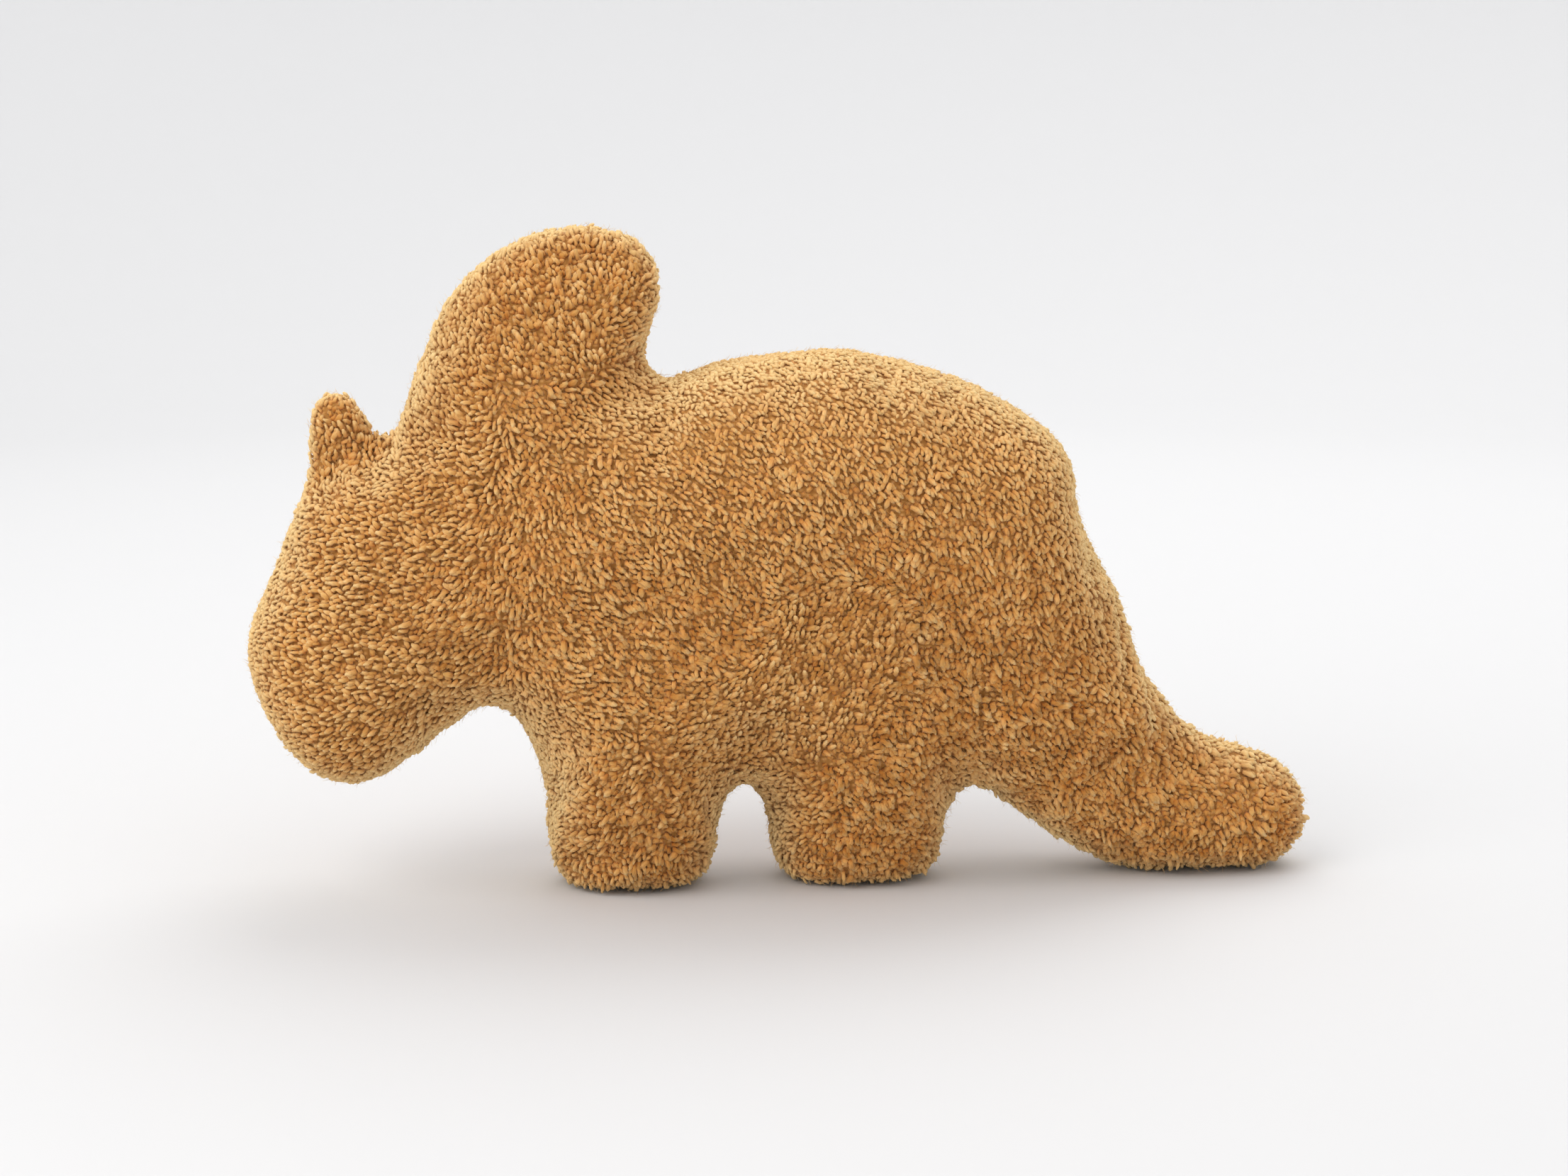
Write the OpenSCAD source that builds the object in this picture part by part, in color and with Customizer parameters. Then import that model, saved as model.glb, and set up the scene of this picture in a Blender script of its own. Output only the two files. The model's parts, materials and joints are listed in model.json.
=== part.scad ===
// Stuffed toy dinosaur with one horn, made as a flat two-panel cushion: two fleece
// panels are sewn together round one outline, turned, filled with wads of polyester
// fibre and closed by hand. Millimetres, +Z up. The head points to -X and the tail
// to +X. The origin is on the floor, under the middle of the length, on the seam.

/* [Toy] */
// Length from the snout to the tip of the tail
toy_length = 400; // [250:10:600]
// How full the stuffing is: 1 is a firm cushion
fullness = 1; // [0.8:0.05:1.15]

/* [Fleece panels] */
// Knitted backing and curled pile together
fleece_thickness = 4.5; // [3:0.5:5]
// Width of the turned-in edge past the line of stitching
seam_allowance = 5; // [3:0.5:6]
// Thickness of one turned-in edge, where the pile is pressed flat
pressed_thickness = 1.8; // [1.2:0.2:2.4]

/* [Thread and label] */
// Thickness of the polyester sewing thread
thread_d = 0.6; // [0.4:0.1:0.8]
// Stitches in the hand-closed gap
closing_stitches = 16; // [8:1:24]
// Length of the label from the seam, folded over the right-hand panel
label_length = 26; // [16:1:34]
// Thickness of the folded satin label
label_thickness = 0.6; // [0.4:0.1:1]

/* [Stuffing] */
// Clearance between two wads, and between a wad and the fleece
wad_gap = 0.6; // [0.4:0.1:1.2]

/* [Hidden] */

// Colours
fleece_colour = "#B07F4B";
thread_colour = "#A8763F";
label_colour = "#EFEBE2";
fibre_colour = "#F4F3EE";

// Fineness: ribs for each stretch between two outline points, and flats up each rib
panel_ribs = 3;
outer_flats = 6;
inner_flats = 4;
wad_ribs = 2;
label_flats = 5;
thread_sides = 4;

// Where the seams and the label lie
edge_margin = 1.6; // from the edge of the pressed fleece in to the machine stitching
stitch_inset = fleece_thickness + edge_margin;
thread_off = pressed_thickness + thread_d * 0.6; // a thread lies just clear of the turned-in edges
thread_half = pressed_thickness + thread_d * 1.2; // half of the room that edges and threads take up
ladder_inset = 1.5;
ladder_reach = 1; // the rungs end this far either side of the seam
slimmest = fleece_thickness + pressed_thickness * 1.2; // least half thickness of the stuffed toy
narrowest_edge = 0.55; // where the toy is slim, the turned-in edge is trimmed to leave this share
label_span = [0.2, 0.75]; // the part of its stretch of seam that the label takes
label_root = 88; // degrees round the panel from its crown, just short of the seam
label_clearance = 0.4;
room_lap = 0.1; // blocks of seam room lap their neighbours by this share of a stretch

// The middle line of the cushion: [x, z, half of the thickness], for a toy 400 long
horn_tip = [-166, 179, 9];
horn_base = [-165, 165, 10];
crown = [-155, 142, 28];
head = [-147, 92, 40];
neck = [-106, 116, 47];
frill_base = [-97, 176, 38];
frill_tip = [-79, 214, 27];
shoulder = [-60, 146, 54];
back = [0, 142, 57];
rump = [60, 124, 53];
tail_root = [106, 66, 38];
tail_middle = [146, 28, 27];
tail_tip = [175, 23, 24];
rump_low = [66, 86, 46];
hip = [32, 76, 44];
hind_foot = [28, 17, 28];
belly = [-12, 88, 51];
chest = [-58, 78, 45];
front_foot = [-56, 17, 28];

// The outline of the seam, clockwise: [x, z, the point of the middle line that it bulges up to]
horn_edge = [
    [-177, 158, horn_base], [-175, 180, horn_tip], [-166, 189, horn_tip], [-157, 184, horn_tip],
    [-151, 172, horn_base], [-150, 165, crown]
];
frill_edge = [
    [-144, 173, frill_base], [-137, 194, frill_base], [-125, 221, frill_tip], [-106, 240, frill_tip],
    [-80, 248, frill_tip], [-55, 245, frill_tip], [-45, 227, frill_tip], [-51, 203, frill_base]
];
back_edge = [
    [-44, 192, shoulder], [-20, 198, shoulder], [14, 203, back], [50, 198, back], [81, 184, rump],
    [105, 166, rump], [113, 142, rump], [128, 110, tail_root], [141, 79, tail_root]
];
tail_edge = [
    [158, 56, tail_middle], [184, 45, tail_tip], [201, 31, tail_tip], [201, 11, tail_tip],
    [187, -2, tail_tip], [152, -3, tail_middle], [128, 1, tail_middle], [101, 16, tail_root]
];
hind_leg_edge = [
    [72, 35, rump_low], [64, 24, hip], [59, 2, hind_foot], [47, -5, hind_foot],
    [11, -5, hind_foot], [-1, 2, hind_foot], [-6, 24, hip]
];
front_leg_edge = [
    [-15, 40, belly], [-25, 24, chest], [-30, 2, front_foot], [-42, -5, front_foot],
    [-73, -5, front_foot], [-85, 2, front_foot], [-90, 34, chest]
];
head_edge = [
    [-105, 69, neck], [-131, 56, head], [-160, 40, head], [-186, 54, head],
    [-200, 92, head], [-189, 125, head], [-182, 142, crown]
];
edge = concat(horn_edge, frill_edge, back_edge, tail_edge, hind_leg_edge, front_leg_edge, head_edge);

// Flat-topped stretches between points of the middle line
plates = [
    [crown, frill_base, neck], [crown, neck, head], [frill_base, shoulder, neck],
    [shoulder, chest, neck], [shoulder, back, belly, chest], [back, rump, hip, belly],
    [rump, rump_low, hip], [rump, tail_root, rump_low]
];

// The turning gap runs from the tail's last points to the hind leg's first one,
// and the label is caught in the seam below the rump.
hind_leg_start = len(edge) - len(head_edge) - len(front_leg_edge) - len(hind_leg_edge);
gap_start = hind_leg_start - 2;
label_start = len(horn_edge) + len(frill_edge) + len(back_edge) - 2;

// Regions of the side view that each wad of stuffing fills
far = 260;
horn_region = [[-210, 163], [-160, 163], [-147, 180], [-147, far], [-210, far]];
head_region = [
    [-210, -10], [-104, -10], [-104, 62], [-128, 163], [-147, 163], [-147, 180], [-160, 163], [-210, 163]
];
frill_region = [[-147, 163], [-128, 163], [-45, 186], [-45, 200], [-30, 206], [-30, far], [-147, far]];
chest_region = [[-104, 62], [-128, 163], [-45, 186], [-45, 200], [-30, 206], [-15, far], [-15, 62]];
belly_region = [[-15, 62], [-15, far], [45, far], [45, 62]];
rump_region = [[45, 62], [45, far], [160, far], [160, 133], [73, 32]];
tail_root_region = [[73, 32], [140, 110], [140, -10], [73, -10]];
tail_tip_region = [[140, -10], [140, 110], [210, 110], [210, -10]];
hind_leg_region = [[-15, -10], [-15, 62], [45, 62], [73, 32], [73, -10]];
front_leg_region = [[-104, -10], [-104, 62], [-15, 62], [-15, -10]];

// A point at share u of the smooth curve from b to c, with a before and d after
function smooth(a, b, c, d, u) =
    (2 * b + (c - a) * u + (2 * a - 5 * b + 4 * c - d) * u * u + (3 * b - a - 3 * c + d) * u * u * u) / 2;
function flat(p) = [p[0], p[1]];
function corner(i) = edge[(i + len(edge)) % len(edge)];

// A station of the seam: [x, z, core x, core z, half thickness]
function station(i, u) =
    concat(smooth(flat(corner(i - 1)), flat(corner(i)), flat(corner(i + 1)), flat(corner(i + 2)), u),
           corner(u < 0.5 ? i : i + 1)[2]);
function stations(n) = [for (i = [0:len(edge) - 1]) for (k = [0:n - 1]) station(i, k / n)];

// The drawn outline is stretched to the toy's length and centred
drawn_x = [for (s = stations(panel_ribs)) s[0]];
middle_x = (min(drawn_x) + max(drawn_x)) / 2;
size = toy_length / (max(drawn_x) - min(drawn_x));
function place(p) = [(p[0] - middle_x) * size, p[1] * size];
function core(s) = place([s[2], s[3]]);
function reach(s) = norm(place(s) - core(s));
function thickness(s, inset) = max(s[4] * size * fullness, slimmest) - inset;

// A point of a station's upright plane, so far out from its core and so far off the
// seam's plane, and never below the floor that the inset leaves
function at(s, out, off, floor_z) =
    let (p = core(s) + (place(s) - core(s)) / reach(s) * out) [p[0], off, max(p[1], floor_z)];
// A point of the crowned surface, from the core (turn 0) to the seam (turn 90) and beyond
function on_rib(s, turn, inset) =
    at(s, (reach(s) - inset) * sin(turn), thickness(s, inset) * cos(turn), max(inset, 0));
// How far out from the core the turned-in edge ends
function edge_reach(s) =
    max(reach(s) - fleece_thickness - seam_allowance, (reach(s) - fleece_thickness) * narrowest_edge);

// Section of a panel at one station: over the outside, in along the seam, round the
// turned-in edge and back up the inside
function panel_section(s) =
    let (root = acos(pressed_thickness / thickness(s, fleece_thickness)),
         floor_z = fleece_thickness + seam_allowance)
    concat([for (k = [0:outer_flats]) on_rib(s, 90 * k / outer_flats, 0)],
           [at(s, edge_reach(s), 0, floor_z), at(s, edge_reach(s), pressed_thickness, floor_z)],
           [for (k = [inner_flats:-1:0]) on_rib(s, root * k / inner_flats, fleece_thickness)]);
function wad_section(s, inset) = [for (k = [0:2 * inner_flats]) on_rib(s, 90 * k / inner_flats, inset)];

// The flat-topped stretches as triangles, at one height
function plate_faces(inset, side) = [for (plate = plates) for (k = [1:len(plate) - 2])
    let (picked = side > 0 ? [0, k + 1, k] : [0, k, k + 1])
    [for (j = picked) on_rib(concat([0, 0], plate[j]), side > 0 ? 0 : 180, inset)]];

// Triangles between two neighbouring sections, without those that meet in a point
function strip(a, b) = [for (k = [0:len(a) - 2])
    for (face = [[a[k], b[k], b[k + 1]], [a[k], b[k + 1], a[k + 1]]])
        if (face[0] != face[1] && face[1] != face[2] && face[2] != face[0]) face];

// A closed skin through all the sections, with the flat-topped stretches
module skin(sections, tops) {
    n = len(sections);
    faces = concat([for (i = [0:n - 1]) each strip(sections[i], sections[(i + 1) % n])], tops);
    polyhedron([for (face = faces) each face], [for (i = [0:len(faces) - 1]) [3 * i, 3 * i + 1, 3 * i + 2]]);
}

module panel() {
    inner = [for (face = plate_faces(fleece_thickness, 1)) [face[0], face[2], face[1]]];
    skin([for (s = stations(panel_ribs)) panel_section(s)], concat(plate_faces(0, 1), inner));
}

module strand(points) {
    for (i = [0:len(points) - 2])
        hull() {
            translate(points[i])
                sphere(d = thread_d, $fn = thread_sides);
            translate(points[i + 1])
                sphere(d = thread_d, $fn = thread_sides);
        }
}

// The machine seam, from one end of the turning gap right round to the other
module machine_thread(side) {
    first = hind_leg_start * wad_ribs;
    last = (len(edge) + gap_start) * wad_ribs;
    strand([for (k = [first:last])
        let (s = station(floor(k / wad_ribs), (k % wad_ribs) / wad_ribs))
        at(s, reach(s) - stitch_inset, side * thread_off, stitch_inset)]);
}

// The ladder stitch steps across the seam, along it, and back again
module ladder_thread() {
    gap = hind_leg_start - gap_start;
    strand([for (k = [1:closing_stitches - 1]) for (step = [0, 1])
        let (share = gap * k / closing_stitches,
             s = station(gap_start + floor(share), share - floor(share)),
             side = (k + step) % 2 == 0 ? -1 : 1)
        at(s, reach(s) - ladder_inset, side * ladder_reach, ladder_inset)]);
}

module block(points) {
    hull()
        polyhedron(points, [[for (k = [0:len(points) - 1]) k]]);
}

// The folded label leaves the seam and lies along the right-hand panel
module folded_label() {
    rows = [for (k = [0:2]) station(label_start, label_span[0] + (label_span[1] - label_span[0]) * k / 2)];
    sweep = label_length / reach(rows[1]) * 180 / PI;
    layers = [-label_clearance, -label_clearance - label_thickness];
    for (k = [0:1]) for (j = [0:label_flats - 1])
        block([for (s = [rows[k], rows[k + 1]])
            for (turn = [label_root - sweep * j / label_flats, label_root - sweep * (j + 1) / label_flats])
                for (layer = layers) on_rib(s, turn, layer)]);
}

// The room that the turned-in edges and the thread take up
module seam_room() {
    half = thread_half + wad_gap;
    for (i = [0:len(edge) - 1]) for (k = [0:wad_ribs - 1])
        block([for (u = [k / wad_ribs, (k + 1) / wad_ribs])
            let (s = station(i, u), n = station(i, u + (u * wad_ribs > k ? room_lap : -room_lap)))
            for (out = [edge_reach(s) - wad_gap, reach(s)]) for (off = [-half, half])
                at(concat(flat(n), [s[2], s[3], s[4]]), out, off, 0)]);
}

module wad(region) {
    inset = fleece_thickness + wad_gap;
    difference() {
        intersection() {
            skin([for (s = stations(wad_ribs)) wad_section(s, inset)],
                 concat(plate_faces(inset, 1), plate_faces(inset, -1)));
            translate([0, toy_length / 2, 0])
                rotate([90, 0, 0])
                    linear_extrude(toy_length)
                        offset(delta = -wad_gap / 2)
                            polygon([for (p = region) place(p)]);
        }
        seam_room();
    }
}

module left_panel() {
    color(fleece_colour)
        mirror([0, 1, 0])
            panel();
}
module right_panel() {
    color(fleece_colour)
        panel();
}
module needle_thread() {
    color(thread_colour)
        machine_thread(-1);
}
module bobbin_thread() {
    color(thread_colour)
        machine_thread(1);
}
module closing_thread() {
    color(thread_colour)
        ladder_thread();
}
module care_label() {
    color(label_colour)
        folded_label();
}
module horn_fill() {
    color(fibre_colour)
        wad(horn_region);
}
module head_fill() {
    color(fibre_colour)
        wad(head_region);
}
module frill_fill() {
    color(fibre_colour)
        wad(frill_region);
}
module chest_fill() {
    color(fibre_colour)
        wad(chest_region);
}
module belly_fill() {
    color(fibre_colour)
        wad(belly_region);
}
module rump_fill() {
    color(fibre_colour)
        wad(rump_region);
}
module tail_root_fill() {
    color(fibre_colour)
        wad(tail_root_region);
}
module tail_tip_fill() {
    color(fibre_colour)
        wad(tail_tip_region);
}
module hind_leg_fill() {
    color(fibre_colour)
        wad(hind_leg_region);
}
module front_leg_fill() {
    color(fibre_colour)
        wad(front_leg_region);
}

left_panel();
right_panel();
needle_thread();
bobbin_thread();
closing_thread();
care_label();
horn_fill();
head_fill();
frill_fill();
chest_fill();
belly_fill();
rump_fill();
tail_root_fill();
tail_tip_fill();
hind_leg_fill();
front_leg_fill();
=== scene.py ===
import json
import math

import bmesh
import bpy
import numpy as np
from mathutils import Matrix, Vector, noise

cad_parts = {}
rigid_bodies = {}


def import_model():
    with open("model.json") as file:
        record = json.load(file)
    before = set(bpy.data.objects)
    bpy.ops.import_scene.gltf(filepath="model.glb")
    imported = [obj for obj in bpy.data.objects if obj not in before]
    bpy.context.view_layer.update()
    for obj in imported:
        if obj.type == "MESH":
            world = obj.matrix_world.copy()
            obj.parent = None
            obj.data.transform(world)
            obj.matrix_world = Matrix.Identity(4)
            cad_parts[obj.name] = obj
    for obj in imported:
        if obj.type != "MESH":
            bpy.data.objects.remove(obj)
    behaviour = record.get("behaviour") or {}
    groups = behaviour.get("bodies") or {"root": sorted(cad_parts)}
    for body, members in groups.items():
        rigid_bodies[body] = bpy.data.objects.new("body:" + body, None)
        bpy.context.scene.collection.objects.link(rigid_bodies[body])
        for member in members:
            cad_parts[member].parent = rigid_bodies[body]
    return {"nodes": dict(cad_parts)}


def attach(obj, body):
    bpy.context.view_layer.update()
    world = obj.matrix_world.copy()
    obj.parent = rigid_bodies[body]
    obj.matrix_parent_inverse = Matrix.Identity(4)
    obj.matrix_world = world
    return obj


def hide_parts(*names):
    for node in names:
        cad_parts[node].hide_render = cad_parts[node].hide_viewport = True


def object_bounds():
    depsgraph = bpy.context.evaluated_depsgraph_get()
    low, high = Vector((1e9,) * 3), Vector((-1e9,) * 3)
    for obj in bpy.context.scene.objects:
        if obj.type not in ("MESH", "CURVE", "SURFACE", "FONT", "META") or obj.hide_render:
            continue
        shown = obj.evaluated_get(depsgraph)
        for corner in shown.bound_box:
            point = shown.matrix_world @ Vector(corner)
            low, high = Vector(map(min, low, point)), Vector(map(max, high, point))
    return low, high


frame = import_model()
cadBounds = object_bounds()
scene = bpy.context.scene
mm = 0.001
print("frame loaded:", len(frame["nodes"]), "nodes")


viewPlan = {
    "turn": -6.5,  # degrees round the toy from straight on
    "rise": 9,
    "distance": 1.145,
    "pivot": (0, 0, 0.125),
    "aim": (-0.0008, 0, 0.1113),
    "lens": 70.4,
}


def directionTo(turn, rise):
    a, e = math.radians(turn), math.radians(rise)
    return Vector((math.sin(a) * math.cos(e), -math.cos(a) * math.cos(e), math.sin(e)))


def addLink(obj):
    scene.collection.objects.link(obj)
    return obj


def placeFacing(obj, place, target):
    obj.location = place
    obj.rotation_euler = (Vector(target) - Vector(place)).to_track_quat("-Z", "Y").to_euler()


cameraData = bpy.data.cameras.new("camera")
cameraData.lens = viewPlan["lens"]
cameraData.sensor_width = 36
cameraData.clip_start = 0.02
camera = addLink(bpy.data.objects.new("camera", cameraData))
toCamera = directionTo(viewPlan["turn"], viewPlan["rise"]) * viewPlan["distance"]
placeFacing(camera, Vector(viewPlan["pivot"]) + toCamera, viewPlan["aim"])
scene.camera = camera
scene.view_settings.view_transform = "Standard"


def linearColour(hexText):
    def part(c):
        c /= 255
        return c / 12.92 if c <= 0.04045 else ((c + 0.055) / 1.055) ** 2.4
    return [part(int(hexText[i:i + 2], 16)) for i in (1, 3, 5)] + [1.0]


def socketOf(sockets, key):
    if isinstance(key, int):
        return sockets[key]
    return next(s for s in sockets if s.name == key and s.enabled)


def fillRamp(ramp, stops):
    while len(ramp.elements) < len(stops):
        ramp.elements.new(0.5)
    for element, (place, colour) in zip(ramp.elements, stops):
        element.position = place
        element.color = linearColour(colour)


def addNode(tree, kind, settings=None, inputs=None, out=None):
    node = tree.nodes.new(kind)
    for name, value in (settings or {}).items():
        if name == "stops":
            fillRamp(node.color_ramp, value)
        else:
            setattr(node, name, value)
    for key, value in (inputs or {}).items():
        socket = socketOf(node.inputs, key)
        if isinstance(value, bpy.types.NodeSocket):
            tree.links.new(value, socket)
        elif value is not None:
            socket.default_value = value
    return node if out is None else socketOf(node.outputs, out)


def newMaterial(name):
    material = bpy.data.materials.new(name)
    material.use_nodes = True
    tree = material.node_tree
    return material, tree, next(n for n in tree.nodes if n.type == "BSDF_PRINCIPLED")


lightPlan = {
    "worldColour": "#F6F5F4",
    "worldStrength": 1.06,
    "floorColour": "#DADBDD",
    "floorRoughness": 0.9,
    "floorGloss": 0.2,
    "floorInner": (0.3, 0.8),  # radii of the rings in the flat middle
    "floorFlat": 1.5,  # radius of the flat middle
    "floorCurve": 0.9,  # radius of the sweep up to the wall
    "floorSteps": 12,  # up the sweep
    "floorSides": 96,
    "wallTop": 1.4,
    "key": {"place": (-1.3, -1.0, 1.5), "size": 1.6, "power": 18, "colour": "#FFFCF8"},
    "back": {"place": (0.5, 1.1, 1.65), "size": 2.0, "power": 14.5, "colour": "#FFFCF8"},
}


def makeStage():
    plan = lightPlan
    world = bpy.data.worlds.new("paleRoom")
    world.use_nodes = True
    sky = next(n for n in world.node_tree.nodes if n.type == "BACKGROUND")
    sky.inputs["Color"].default_value = linearColour(plan["worldColour"])
    sky.inputs["Strength"].default_value = plan["worldStrength"]
    scene.world = world
    for name in ("key", "back"):
        light = plan[name]
        data = bpy.data.lights.new(name + "Light", "AREA")
        data.shape = "DISK"
        data.size = light["size"]
        data.energy = light["power"]
        data.color = linearColour(light["colour"])[:3]
        lamp = addLink(bpy.data.objects.new(name + "Light", data))
        placeFacing(lamp, light["place"], viewPlan["pivot"])
    # a round floor that sweeps up into a low wall, so there is no horizon from any side
    steps, around = plan["floorSteps"], plan["floorSides"]
    curve = [(plan["floorFlat"] + plan["floorCurve"] * math.sin(t),
              plan["floorCurve"] * (1 - math.cos(t)))
             for t in (math.pi / 2 * k / steps for k in range(steps + 1))]
    profile = [(radius, 0) for radius in plan["floorInner"]] + curve
    profile.append((curve[-1][0], plan["wallTop"]))
    bm = bmesh.new()
    centre = bm.verts.new((0, 0, 0))
    angles = [2 * math.pi * k / around for k in range(around)]
    rings = [[bm.verts.new((radius * math.cos(t), radius * math.sin(t), z)) for t in angles]
             for radius, z in profile]
    for k in range(around):
        j = (k + 1) % around
        bm.faces.new([centre, rings[0][k], rings[0][j]])
        for low, high in zip(rings, rings[1:]):
            bm.faces.new([low[k], high[k], high[j], low[j]])
    mesh = bpy.data.meshes.new("floor")
    bm.to_mesh(mesh)
    bm.free()
    mesh.shade_smooth()
    floor = addLink(bpy.data.objects.new("floor", mesh))
    material, tree, shader = newMaterial("paleFloor")
    shader.inputs["Base Color"].default_value = linearColour(plan["floorColour"])
    shader.inputs["Roughness"].default_value = plan["floorRoughness"]
    shader.inputs["Specular IOR Level"].default_value = plan["floorGloss"]
    mesh.materials.append(material)


makeStage()
print("camera, floor and lights placed")


def pointsOf(mesh):
    flat = np.empty(len(mesh.vertices) * 3, dtype=np.float32)
    mesh.vertices.foreach_get("co", flat)
    return flat.reshape(-1, 3).astype(float)


def putPoints(mesh, points):
    mesh.vertices.foreach_set("co", points.astype(np.float32).ravel())
    mesh.update()


def normalsOf(mesh):
    flat = np.empty(len(mesh.vertices) * 3, dtype=np.float32)
    mesh.vertex_normals.foreach_get("vector", flat)
    return flat.reshape(-1, 3).astype(float)


def settled(obj):
    graph = bpy.context.evaluated_depsgraph_get()
    return bpy.data.meshes.new_from_object(obj.evaluated_get(graph), preserve_all_data_layers=True,
                                           depsgraph=graph)


def finishedPiece(name, mesh, material, replaced=(), smooth=True):
    mesh.name = name
    if material is not None:
        mesh.materials.clear()
        mesh.materials.append(material)
    if smooth:
        mesh.shade_smooth()
    piece = addLink(bpy.data.objects.new(name, mesh))
    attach(piece, "root")
    if replaced:
        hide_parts(*replaced)
    return piece


def remade(obj, *modifiers):
    for kind, settings in modifiers:
        modifier = obj.modifiers.new(kind, kind)
        for key, value in settings.items():
            setattr(modifier, key, value)
    mesh = settled(obj)
    bpy.data.objects.remove(obj)
    return mesh


def mergedCopy(nodes):
    bm = bmesh.new()
    for node in nodes:
        part = bmesh.new()
        part.from_mesh(frame["nodes"][node].data)
        bmesh.ops.remove_doubles(part, verts=part.verts, dist=1e-5)
        holder = bpy.data.meshes.new("holder")
        part.to_mesh(holder)
        part.free()
        bm.from_mesh(holder)
        bpy.data.meshes.remove(holder)
    mesh = bpy.data.meshes.new("copy")
    bm.to_mesh(mesh)
    bm.free()
    return addLink(bpy.data.objects.new("copy", mesh))


wadNodes = [n for n in frame["nodes"] if n.endswith("_fill")]
panelNodes = ["left_panel", "right_panel"]

cushionPlan = {
    "voxel": 4.2 * mm,
    "smoothing": {"factor": 0.5, "iterations": 5},  # of the remeshed solids
    "evening": {"factor": 0.4, "iterations": 2},  # of the finished cushion
    "pileDepth": 1.9 * mm,  # backing lies this far inside the finished outline
    "pressure": 4.0,
    "slack": -0.03,  # the cloth is cut 3 % larger than the shape, so it ripples
    "cloth": {"quality": 5, "mass": 0.25, "tension_stiffness": 18, "compression_stiffness": 18,
              "bending_stiffness": 0.6},
    "steps": 20,
    "furthestMove": 4 * mm,
    "seamHeld": 3 * mm,  # points this near the seam plane stay put
    "soleHeld": 6 * mm,  # the hold of the floor fades out over this height
    "seamPinch": 0.5 * mm,
    "pinchReach": 5 * mm,
    "lumpSize": 34 * mm,
    "lumpHeight": 1.3 * mm,
    "ripple": (10 * mm, 40 * mm, 55 * mm),  # size of the upright ripples along, across and up
    "rippleHeight": 0.9 * mm,
    "rippleFrom": -20 * mm,  # they show on the flank from here back
    "rippleFade": 40 * mm,
    "soleHeight": 2.2 * mm,
}

# places over the side view that are stuffed fuller: x, z, reach and how much further out, in mm
fullPlan = [
    (-163, 178, 16, 1.6),
    (196, 24, 18, 1.6),
    (176, 46, 16, 1.0),
    (-47, 226, 22, 1.6),
    (-198, 92, 26, 0.6),
    (92, 180, 26, 1.2),
    (26, 204, 34, 0.6),
    (-88, 14, 16, 2.4),
    (-28, 14, 14, 2.0),
    (4, 14, 14, 2.4),
    (58, 14, 12, 0.8),
]

# soft folds: start and end over the side view, half width and depth, in mm
foldPlan = [
    (-105, 150, -103, 100, 15, 2.2),
    (-103, 104, -96, 74, 14, 2.8),
    (-107, 97, -106, 95, 7, 2.0),
    (-118, 66, -140, 70, 20, 1.6),
    (-125, 114, -120, 74, 19, 4.0),
    (2, 84, 4, 112, 12, 1.4),
    (-17, 40, -12, 66, 12, 4.6),
    (-12, 66, 2, 84, 14, 2.6),
    (70, 40, 62, 74, 14, 4.0),
    (-146, 164, -166, 160, 8, 3.0),
    (-52, 190, -74, 182, 16, 2.6),
    (-136, 168, -112, 160, 14, 2.0),
    (112, 96, 96, 84, 16, 1.6),
    (122, 18, 128, 44, 14, 1.8),
]


def outerShell(mesh):
    # keeps the skin and drops the closed hollows inside it
    bm = bmesh.new()
    bm.from_mesh(mesh)
    seen, islands = set(), []
    for start in bm.verts:
        if start in seen:
            continue
        seen.add(start)
        island = [start]
        for vert in island:
            for edge in vert.link_edges:
                other = edge.other_vert(vert)
                if other not in seen:
                    seen.add(other)
                    island.append(other)
        islands.append(island)
    islands.sort(key=lambda island: max(v.co.x for v in island) - min(v.co.x for v in island))
    for island in islands[:-1]:
        bmesh.ops.delete(bm, geom=island, context="VERTS")
    bm.to_mesh(mesh)
    bm.free()
    return mesh


def blownUp(mesh):
    plan = cushionPlan
    start = pointsOf(mesh)
    obj = addLink(bpy.data.objects.new("cushion", mesh))
    group = obj.vertex_groups.new(name="held")
    for i, (x, y, z) in enumerate(start):
        hold = max(1 - (abs(y) / plan["seamHeld"] - 1), 0)
        hold = max(hold, 1 - max(z - 2 * plan["pileDepth"], 0) / plan["soleHeld"])
        group.add([i], float(min(max(hold, 0), 1)), "REPLACE")
    cloth = obj.modifiers.new("Cloth", "CLOTH")
    settings = cloth.settings
    for name, value in plan["cloth"].items():
        setattr(settings, name, value)
    settings.use_pressure = True
    settings.uniform_pressure_force = plan["pressure"]
    settings.shrink_min = plan["slack"]
    settings.vertex_group_mass = "held"
    settings.effector_weights.gravity = 0
    cloth.point_cache.frame_start = 1
    cloth.point_cache.frame_end = plan["steps"]
    for step in range(1, plan["steps"] + 1):
        scene.frame_set(step)
    swollen = pointsOf(settled(obj))
    scene.frame_set(1)
    obj.modifiers.clear()
    move = swollen - start
    length = np.linalg.norm(move, axis=1, keepdims=True)
    move *= np.minimum(1, plan["furthestMove"] / np.maximum(length, 1e-9))
    putPoints(mesh, start + move)
    bpy.data.objects.remove(obj)
    return mesh


def foldDepth(points):
    depth = np.zeros(len(points))
    for x0, z0, x1, z1, width, deep in foldPlan:
        a, b = np.array([x0, z0]) * mm, np.array([x1, z1]) * mm
        flat = points[:, [0, 2]] - a
        share = np.clip(flat @ (b - a) / np.dot(b - a, b - a), 0, 1)
        away = np.linalg.norm(flat - share[:, None] * (b - a), axis=1)
        depth += deep * mm * np.exp(-(away / (width * mm)) ** 2)
    return depth


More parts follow.
